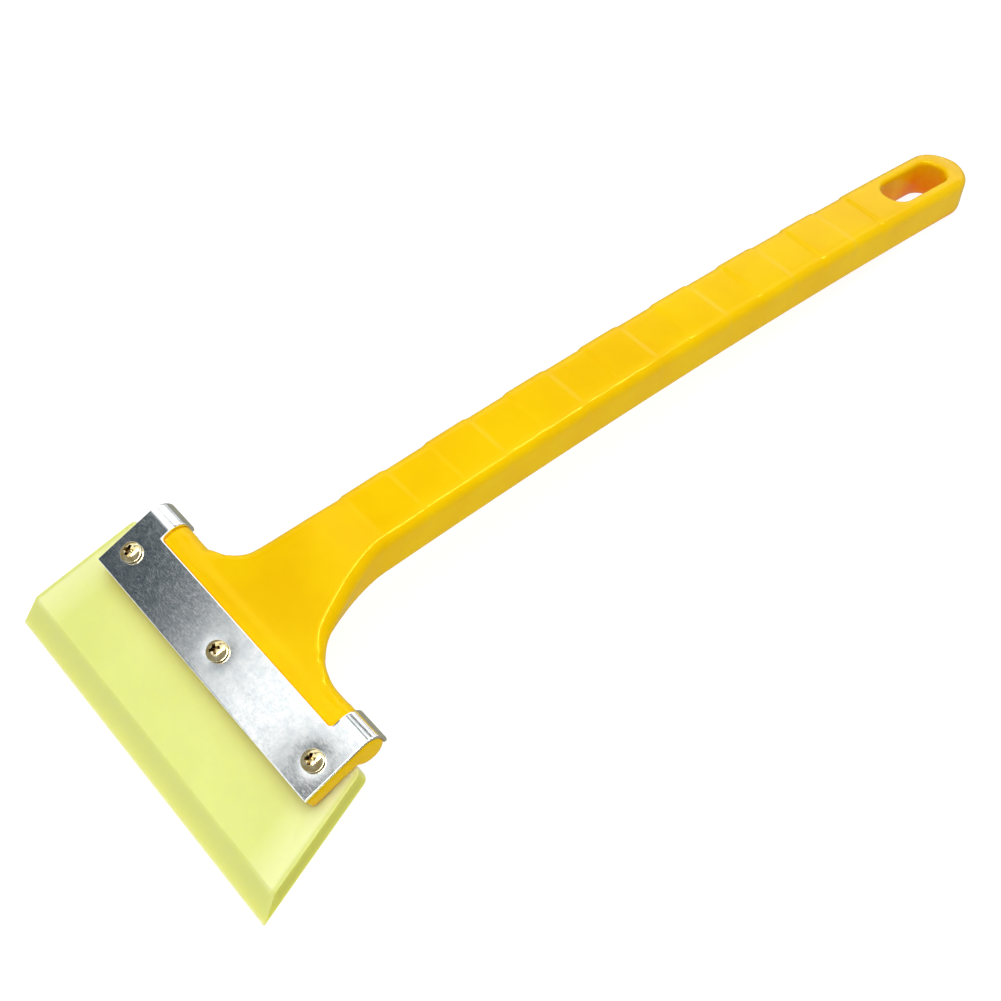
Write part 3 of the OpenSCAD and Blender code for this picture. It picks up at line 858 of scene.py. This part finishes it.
def screw_tree():
    """Turns a unit grid (x round the screw, y down its profile) into a screw, cuts the cross
    recess, and sets it in its place."""
    tree, given = new_geometry_tree("pan_head_screw", head_radius=0.0034, head_height=0.0024,
                                    shank_radius=0.00175, shank_length=0.018, pitch=0.0006,
                                    thread_depth=0.00022, recess_turn=0.0, place=(0.0, 0.0, 0.0),
                                    tilt=(0.0, 0.0, 0.0))
    grid = add(tree, "GeometryNodeMeshGrid", {"Size X": 1.0, "Size Y": 1.0,
                                              "Vertices X": 49, "Vertices Y": 261})
    spot = add(tree, "ShaderNodeSeparateXYZ", {0: add(tree, "GeometryNodeInputPosition")})
    angle = maths(tree, "MULTIPLY", spot.outputs["X"], 2 * math.pi)
    down = maths(tree, "SUBTRACT", 0.5, spot.outputs["Y"])

    def along_profile(start, length):
        """How far through one stretch of the profile a point is, from 0 to 1."""
        return maths(tree, "DIVIDE", maths(tree, "SUBTRACT", down, start), length, clamp=True)

    # The head takes the first tenth of the profile, the shank the rest.
    on_top = along_profile(0.0, 0.06)
    on_side = along_profile(0.06, 0.03)
    under = along_profile(0.09, 0.01)
    on_shank = along_profile(0.1, 0.9)
    at_tip = along_profile(0.97, 0.025)
    closed = maths(tree, "GREATER_THAN", down, 0.9985)

    # The head: a domed top, half the height, then a side that bulges a little.
    dome = math.radians(62)
    bulge_share = 0.03
    arc = maths(tree, "MULTIPLY", on_top, dome)
    top_r = maths(tree, "DIVIDE", maths(tree, "SINE", arc), math.sin(dome))
    sunk = maths(tree, "SUBTRACT", 1.0, maths(tree, "COSINE", arc))
    top_z = maths(tree, "DIVIDE", sunk, 1 - math.cos(dome))
    radius = maths(tree, "MULTIPLY", top_r, maths(tree, "MULTIPLY", given["head_radius"], 1 - bulge_share))
    bulge = maths(tree, "SINE", maths(tree, "MULTIPLY", on_side, math.pi))
    bulge_r = maths(tree, "MULTIPLY", given["head_radius"], bulge_share)
    radius = maths(tree, "ADD", radius, maths(tree, "MULTIPLY", bulge, bulge_r))
    height = maths(tree, "SUBTRACT", 1.0, maths(tree, "MULTIPLY", top_z, 0.5))
    height = maths(tree, "SUBTRACT", height, maths(tree, "MULTIPLY", on_side, 0.5))
    height = maths(tree, "MULTIPLY", height, given["head_height"])

    # The shank: plain at first, then threaded, with a chamfered and closed tip.
    drop = maths(tree, "MULTIPLY", on_shank, given["shank_length"])
    turns = maths(tree, "SUBTRACT", maths(tree, "DIVIDE", drop, given["pitch"]), spot.outputs["X"])
    tooth = maths(tree, "ABSOLUTE", maths(tree, "SUBTRACT", maths(tree, "FRACT", turns), 0.5))
    cutting = add(tree, "ShaderNodeMapRange", {"Value": drop, "From Min": 0.004, "From Max": 0.005})
    groove = maths(tree, "MULTIPLY", maths(tree, "MULTIPLY", tooth, 2.0), given["thread_depth"])
    shank = maths(tree, "SUBTRACT", given["shank_radius"], maths(tree, "MULTIPLY", groove, cutting))
    shank = maths(tree, "MULTIPLY", shank, maths(tree, "SUBTRACT", 1.0, maths(tree, "MULTIPLY", at_tip, 0.3)))
    shank = maths(tree, "MULTIPLY", shank, maths(tree, "SUBTRACT", 1.0, closed))
    in_shank = maths(tree, "GREATER_THAN", under, 0.5)
    radius = add(tree, "ShaderNodeMix", {"Factor": in_shank, "A": radius, "B": shank}, data_type="FLOAT")
    height = maths(tree, "SUBTRACT", height, drop)

    x = maths(tree, "MULTIPLY", radius, maths(tree, "COSINE", angle))
    y = maths(tree, "MULTIPLY", radius, maths(tree, "SINE", angle))
    profile = add(tree, "ShaderNodeCombineXYZ", {0: x, 1: y, 2: height})
    turned = add(tree, "GeometryNodeSetPosition", {"Geometry": grid.outputs["Mesh"], "Position": profile})
    blank = add(tree, "GeometryNodeMergeByDistance", {"Geometry": turned, "Distance": 0.00002})

    # The recess: two crossed blocks, each tapered towards its foot in both directions.
    cut = add(tree, "GeometryNodeMeshBoolean", {"Mesh 1": blank}, operation="DIFFERENCE", solver="MANIFOLD")
    recess_l = 0.0041
    recess_w = 0.00115
    recess_h = 0.0032
    for quarter in (0, 90):
        block = add(tree, "GeometryNodeMeshCube", {"Size": (recess_l, recess_w, recess_h)})
        here = add(tree, "GeometryNodeInputPosition")
        up = add(tree, "ShaderNodeSeparateXYZ", {0: here}).outputs["Z"]
        tapers = {}
        for axis, foot, mouth in ((0, 0.45, 1.25), (1, 0.7, 1.1)):
            tapers[axis] = add(tree, "ShaderNodeMapRange", {
                "Value": up, "From Min": -recess_h / 2, "From Max": recess_h / 2,
                "To Min": foot, "To Max": mouth})
        tapered = add(tree, "ShaderNodeCombineXYZ", {**tapers, 2: 1.0})
        narrow = add(tree, "ShaderNodeVectorMath", {0: here, 1: tapered}, operation="MULTIPLY")
        wedge = add(tree, "GeometryNodeSetPosition", {"Geometry": block.outputs["Mesh"], "Position": narrow})
        spin = maths(tree, "ADD", given["recess_turn"], math.radians(quarter))
        set_in = add(tree, "GeometryNodeTransform", {
            "Geometry": wedge, "Translation": add(tree, "ShaderNodeCombineXYZ", {2: given["head_height"]}),
            "Rotation": add(tree, "ShaderNodeCombineXYZ", {2: spin})})
        tree.links.new(set_in.outputs[0], cut.inputs[1])
    placed = add(tree, "GeometryNodeTransform", {"Geometry": cut, "Translation": given["place"],
                                                 "Rotation": given["tilt"]})
    whole = add(tree, "GeometryNodeRealizeInstances", {"Geometry": placed})
    plated = add(tree, "GeometryNodeSetMaterial", {"Geometry": whole, "Material": zinc_yellow})
    add(tree, "NodeGroupOutput", {"Mesh": plated})
    return tree


def plated_zinc(name, low, high, recess):
    """Zinc-plated steel: a satin metal whose passivated film drifts a little in colour from low
    to high, with painted shade darkening it down in the recess and the thread."""
    made, tree = new_material(name)
    place = add(tree, "ShaderNodeTexCoord").outputs["Object"]
    film = add(tree, "ShaderNodeTexNoise", {"Vector": place, "Scale": 700.0, "Detail": 3.0})
    tint = add(tree, "ShaderNodeValToRGB", {0: film})
    tint.color_ramp.elements[0].position, tint.color_ramp.elements[1].position = 0.35, 0.65
    tint.color_ramp.elements[0].color = linear(low)
    tint.color_ramp.elements[1].color = linear(high)
    # Painted shade: where ambient occlusion finds the recess, the thread and other hollows, the colour is
    # mixed towards the recess colour.
    shade_occlusion = add(tree, "ShaderNodeAmbientOcclusion", {"Distance": 0.0012}, samples=8)
    deep = add(tree, "ShaderNodeMapRange", {"Value": shade_occlusion.outputs["AO"], "From Min": 0.75, "From Max": 0.35})
    colour = add(tree, "ShaderNodeMix", {"Factor": deep, "A": tint, "B": linear(recess)}, data_type="RGBA")
    grit = add(tree, "ShaderNodeTexNoise", {"Vector": place, "Scale": 4000.0, "Detail": 2.0})
    bump = add(tree, "ShaderNodeBump", {"Strength": 0.1, "Distance": 0.0001, "Height": grit})
    rough = add(tree, "ShaderNodeMapRange", {"Value": film, "To Min": 0.08, "To Max": 0.22})
    shader = add(tree, "ShaderNodeBsdfPrincipled", {
        "Base Color": colour, "Metallic": 1.0, "Roughness": rough, "Normal": bump})
    add(tree, "ShaderNodeOutputMaterial", {"Surface": shader})
    return made


# The last colour is the painted shade for the recess and the thread.
zinc_yellow = plated_zinc("yellow_passivated_zinc_screw", "#D9C284", "#F4EAC0", "#6B4418")
screw_maker = screw_tree()
tilt = Vector(head_up.to_track_quat("Z", "Y").to_euler())
for name, x, recess_turn in (("left", -screw_pitch, 25), ("middle", 0.0, 62), ("right", screw_pitch, 38)):
    screw = to_object("screw_" + name + "_pan_head", bmesh.new())
    run_tree(screw, screw_maker, head_radius=head_d / 2 * MM, head_height=head_h * MM,
             shank_radius=shank_d / 2 * MM, shank_length=(head_z - screw_tip) * MM, pitch=thread_pitch * MM,
             thread_depth=thread_depth * MM, recess_turn=math.radians(recess_turn),
             place=on_head(x, -screw_y, head_z), tilt=tilt)
    smooth_shaded(screw, 35)
    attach(screw, "screw_" + name)
    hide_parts("screw_" + name)


# ---- Nuts -------------------------------------------------------------------
# Three plain hex nuts behind the strip, zinc-plated, with both faces chamfered. They
# stand still while their screws turn, so they are one group on the tool.
def nut_tree():
    """A hexagon, chamfered by what it shares with a flattened ball, and bored. One is set at
    each point of the mesh that comes in."""
    tree, given = new_geometry_tree("hex_nuts", across_flats=0.006, thickness=0.0028, bore=0.00355,
                                    tilt=(0.0, 0.0, 0.0))
    corner_r = maths(tree, "DIVIDE", given["across_flats"], 2 * math.cos(math.radians(30)))
    hexagon = add(tree, "GeometryNodeMeshCylinder", {"Vertices": 6, "Radius": corner_r,
                                                     "Depth": given["thickness"]})
    dome_r = maths(tree, "MULTIPLY", given["across_flats"], 0.62)
    dome = add(tree, "GeometryNodeMeshUVSphere", {"Segments": 64, "Rings": 32, "Radius": dome_r})
    flattened = add(tree, "GeometryNodeTransform", {"Geometry": dome.outputs["Mesh"],
                                                    "Scale": (1.0, 1.0, 0.72)})
    chamfered = add(tree, "GeometryNodeMeshBoolean", {"Mesh": hexagon.outputs["Mesh"]}, operation="INTERSECT",
                    solver="MANIFOLD")
    tree.links.new(flattened.outputs[0], chamfered.inputs[1])
    bore_r = maths(tree, "MULTIPLY", given["bore"], 0.5)
    stem = add(tree, "GeometryNodeMeshCylinder", {"Vertices": 48, "Radius": bore_r, "Depth": 0.01})
    bored = add(tree, "GeometryNodeMeshBoolean", {"Mesh 1": chamfered, "Mesh 2": stem.outputs["Mesh"]},
                operation="DIFFERENCE", solver="MANIFOLD")
    laid = add(tree, "GeometryNodeInstanceOnPoints", {"Points": given["Mesh"], "Instance": bored,
                                                      "Rotation": given["tilt"]})
    whole = add(tree, "GeometryNodeRealizeInstances", {"Geometry": laid})
    plated = add(tree, "GeometryNodeSetMaterial", {"Geometry": whole, "Material": zinc_clear})
    add(tree, "NodeGroupOutput", {"Mesh": plated})
    return tree


nut_af = 6.0         # across flats
bore_gap = 0.1       # how much wider the bore is than the screw
# The last colour is the painted shade for the nuts' hollows.
zinc_clear = plated_zinc("clear_passivated_zinc_nut", "#B9BEC2", "#DDE1E3", "#3A3A36")
spots = bmesh.new()
for x in screw_xs:
    spots.verts.new(on_head(x, -screw_y, strip_top - sheet_t - nut_h / 2))
nuts = to_object("hex_nuts", spots)
run_tree(nuts, nut_tree(), across_flats=nut_af * MM, thickness=nut_h * MM,
         bore=(shank_d + bore_gap) * MM, tilt=tilt)
smooth_shaded(nuts, 30)
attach(nuts, "tool")
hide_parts("nut_left", "nut_middle", "nut_right")
